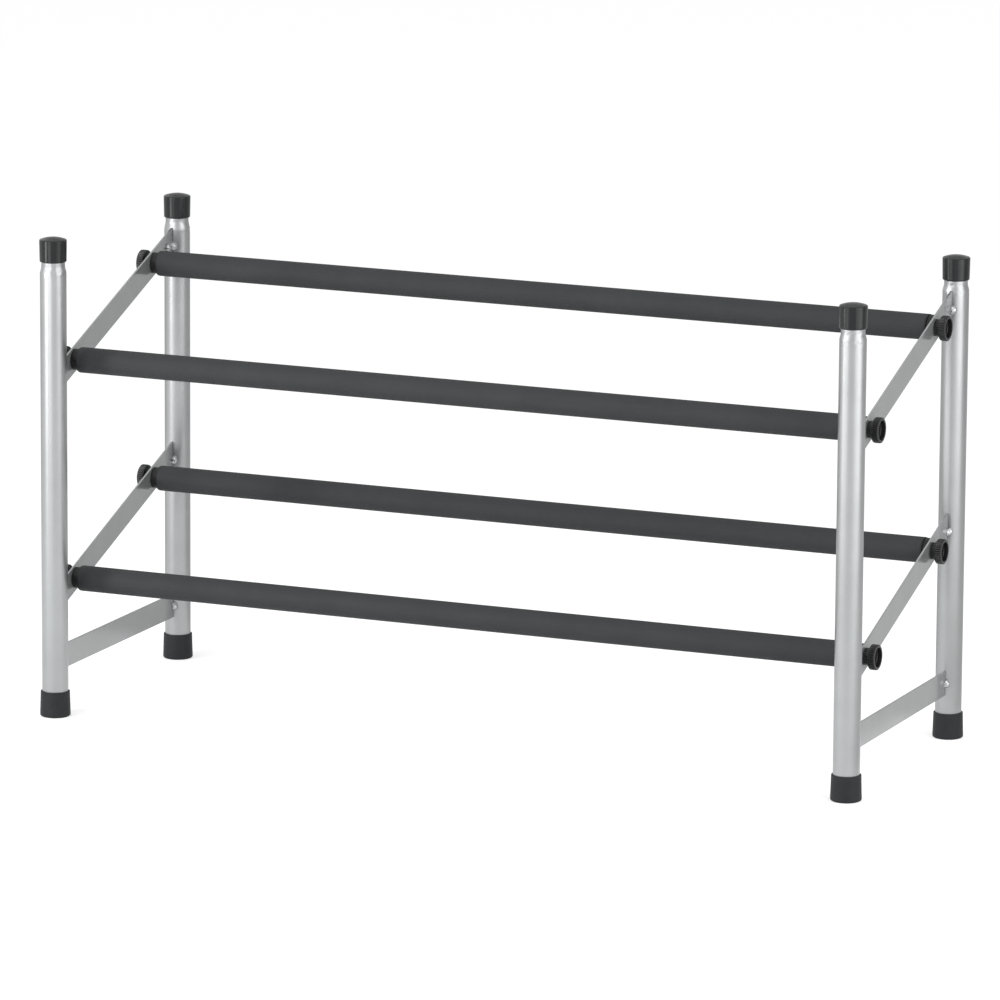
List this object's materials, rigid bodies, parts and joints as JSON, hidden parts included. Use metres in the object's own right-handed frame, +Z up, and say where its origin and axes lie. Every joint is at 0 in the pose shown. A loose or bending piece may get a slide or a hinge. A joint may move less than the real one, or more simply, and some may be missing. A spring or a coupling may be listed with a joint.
{
  "type": "pull out shoe rack",
  "caption": "Free-standing shoe rack with sloping tiers of telescopic tube rails between tubular end frames; one frame pulls out to widen it, and ribbed knobs clamp the rail ends.",
  "frame": {"origin": "on the floor, in the middle of the closed rack", "axes": "+X across the rack to the frame that pulls out, +Y to the back, +Z up"},
  "size_m": [0.6488, 0.2348, 0.36],
  "materials": {
    "silver_coat": "satin silver metallic powder coat",
    "grey_rail_coat": "matte dark grey plastic coating",
    "dark_plastic": "satin moulded dark grey plastic",
    "black_plastic": "satin moulded black plastic",
    "zinc_steel": "bright zinc plated steel"
  },
  "bodies": {
    "left_frame": {"left_front_leg": "silver_coat", "left_front_cap": "dark_plastic", "left_front_foot": "dark_plastic", "left_back_leg": "silver_coat", "left_back_cap": "dark_plastic", "left_back_foot": "dark_plastic", "left_lower_shelf_bar": "silver_coat", "left_upper_shelf_bar": "silver_coat", "left_base_bar": "silver_coat", "left_tack_welds": "silver_coat", "left_threaded_inserts": "zinc_steel", "lower_front_outer_tube": "grey_rail_coat", "lower_front_guide_sleeve": "black_plastic", "lower_front_left_plug": "black_plastic", "lower_back_outer_tube": "grey_rail_coat", "lower_back_guide_sleeve": "black_plastic", "lower_back_left_plug": "black_plastic", "upper_front_outer_tube": "grey_rail_coat", "upper_front_guide_sleeve": "black_plastic", "upper_front_left_plug": "black_plastic", "upper_back_outer_tube": "grey_rail_coat", "upper_back_guide_sleeve": "black_plastic", "upper_back_left_plug": "black_plastic"},
    "right_frame": {"right_front_leg": "silver_coat", "right_front_cap": "dark_plastic", "right_front_foot": "dark_plastic", "right_back_leg": "silver_coat", "right_back_cap": "dark_plastic", "right_back_foot": "dark_plastic", "right_lower_shelf_bar": "silver_coat", "right_upper_shelf_bar": "silver_coat", "right_base_bar": "silver_coat", "right_tack_welds": "silver_coat", "right_threaded_inserts": "zinc_steel", "lower_front_inner_tube": "grey_rail_coat", "lower_front_right_plug": "black_plastic", "lower_back_inner_tube": "grey_rail_coat", "lower_back_right_plug": "black_plastic", "upper_front_inner_tube": "grey_rail_coat", "upper_front_right_plug": "black_plastic", "upper_back_inner_tube": "grey_rail_coat", "upper_back_right_plug": "black_plastic"},
    "lower_front_left_stud_body": {"lower_front_left_stud": "zinc_steel"},
    "lower_front_left_knob_body": {"lower_front_left_knob": "black_plastic"},
    "lower_front_right_stud_body": {"lower_front_right_stud": "zinc_steel"},
    "lower_front_right_knob_body": {"lower_front_right_knob": "black_plastic"},
    "lower_back_left_stud_body": {"lower_back_left_stud": "zinc_steel"},
    "lower_back_left_knob_body": {"lower_back_left_knob": "black_plastic"},
    "lower_back_right_stud_body": {"lower_back_right_stud": "zinc_steel"},
    "lower_back_right_knob_body": {"lower_back_right_knob": "black_plastic"},
    "upper_front_left_stud_body": {"upper_front_left_stud": "zinc_steel"},
    "upper_front_left_knob_body": {"upper_front_left_knob": "black_plastic"},
    "upper_front_right_stud_body": {"upper_front_right_stud": "zinc_steel"},
    "upper_front_right_knob_body": {"upper_front_right_knob": "black_plastic"},
    "upper_back_left_stud_body": {"upper_back_left_stud": "zinc_steel"},
    "upper_back_left_knob_body": {"upper_back_left_knob": "black_plastic"},
    "upper_back_right_stud_body": {"upper_back_right_stud": "zinc_steel"},
    "upper_back_right_knob_body": {"upper_back_right_knob": "black_plastic"}
  },
  "joints": [
    {"name": "frame_pull_out", "type": "slide", "parent": "left_frame", "child": "right_frame", "axis": [1, 0, 0], "range_m": [0, 0.5]},
    {"name": "lower_front_left_knob_travel", "type": "slide", "parent": "left_frame", "child": "lower_front_left_stud_body", "axis": [-1, 0, 0], "range_m": [0, 0.0145]},
    {"name": "lower_front_left_knob_turn", "type": "hinge", "parent": "lower_front_left_stud_body", "child": "lower_front_left_knob_body", "pos_m": [-0.31385, -0.072, 0.09796], "axis": [-1, 0, 0], "range_deg": [0, 5220]},
    {"name": "lower_front_right_knob_travel", "type": "slide", "parent": "right_frame", "child": "lower_front_right_stud_body", "axis": [1, 0, 0], "range_m": [0, 0.0145]},
    {"name": "lower_front_right_knob_turn", "type": "hinge", "parent": "lower_front_right_stud_body", "child": "lower_front_right_knob_body", "pos_m": [0.31385, -0.072, 0.09796], "axis": [1, 0, 0], "range_deg": [0, 5220]},
    {"name": "lower_back_left_knob_travel", "type": "slide", "parent": "left_frame", "child": "lower_back_left_stud_body", "axis": [-1, 0, 0], "range_m": [0, 0.0145]},
    {"name": "lower_back_left_knob_turn", "type": "hinge", "parent": "lower_back_left_stud_body", "child": "lower_back_left_knob_body", "pos_m": [-0.31385, 0.064, 0.14828], "axis": [-1, 0, 0], "range_deg": [0, 5220]},
    {"name": "lower_back_right_knob_travel", "type": "slide", "parent": "right_frame", "child": "lower_back_right_stud_body", "axis": [1, 0, 0], "range_m": [0, 0.0145]},
    {"name": "lower_back_right_knob_turn", "type": "hinge", "parent": "lower_back_right_stud_body", "child": "lower_back_right_knob_body", "pos_m": [0.31385, 0.064, 0.14828], "axis": [1, 0, 0], "range_deg": [0, 5220]},
    {"name": "upper_front_left_knob_travel", "type": "slide", "parent": "left_frame", "child": "upper_front_left_stud_body", "axis": [-1, 0, 0], "range_m": [0, 0.0145]},
    {"name": "upper_front_left_knob_turn", "type": "hinge", "parent": "upper_front_left_stud_body", "child": "upper_front_left_knob_body", "pos_m": [-0.31385, -0.072, 0.26296], "axis": [-1, 0, 0], "range_deg": [0, 5220]},
    {"name": "upper_front_right_knob_travel", "type": "slide", "parent": "right_frame", "child": "upper_front_right_stud_body", "axis": [1, 0, 0], "range_m": [0, 0.0145]},
    {"name": "upper_front_right_knob_turn", "type": "hinge", "parent": "upper_front_right_stud_body", "child": "upper_front_right_knob_body", "pos_m": [0.31385, -0.072, 0.26296], "axis": [1, 0, 0], "range_deg": [0, 5220]},
    {"name": "upper_back_left_knob_travel", "type": "slide", "parent": "left_frame", "child": "upper_back_left_stud_body", "axis": [-1, 0, 0], "range_m": [0, 0.0145]},
    {"name": "upper_back_left_knob_turn", "type": "hinge", "parent": "upper_back_left_stud_body", "child": "upper_back_left_knob_body", "pos_m": [-0.31385, 0.064, 0.31328], "axis": [-1, 0, 0], "range_deg": [0, 5220]},
    {"name": "upper_back_right_knob_travel", "type": "slide", "parent": "right_frame", "child": "upper_back_right_stud_body", "axis": [1, 0, 0], "range_m": [0, 0.0145]},
    {"name": "upper_back_right_knob_turn", "type": "hinge", "parent": "upper_back_right_stud_body", "child": "upper_back_right_knob_body", "pos_m": [0.31385, 0.064, 0.31328], "axis": [1, 0, 0], "range_deg": [0, 5220]}
  ],
  "couplings": [
    {"joint": "lower_front_left_knob_turn", "follows": "lower_front_left_knob_travel", "rad_per_m": 6283.2},
    {"joint": "lower_front_right_knob_turn", "follows": "lower_front_right_knob_travel", "rad_per_m": 6283.2},
    {"joint": "lower_back_left_knob_turn", "follows": "lower_back_left_knob_travel", "rad_per_m": 6283.2},
    {"joint": "lower_back_right_knob_turn", "follows": "lower_back_right_knob_travel", "rad_per_m": 6283.2},
    {"joint": "upper_front_left_knob_turn", "follows": "upper_front_left_knob_travel", "rad_per_m": 6283.2},
    {"joint": "upper_front_right_knob_turn", "follows": "upper_front_right_knob_travel", "rad_per_m": 6283.2},
    {"joint": "upper_back_left_knob_turn", "follows": "upper_back_left_knob_travel", "rad_per_m": 6283.2},
    {"joint": "upper_back_right_knob_turn", "follows": "upper_back_right_knob_travel", "rad_per_m": 6283.2}
  ]
}
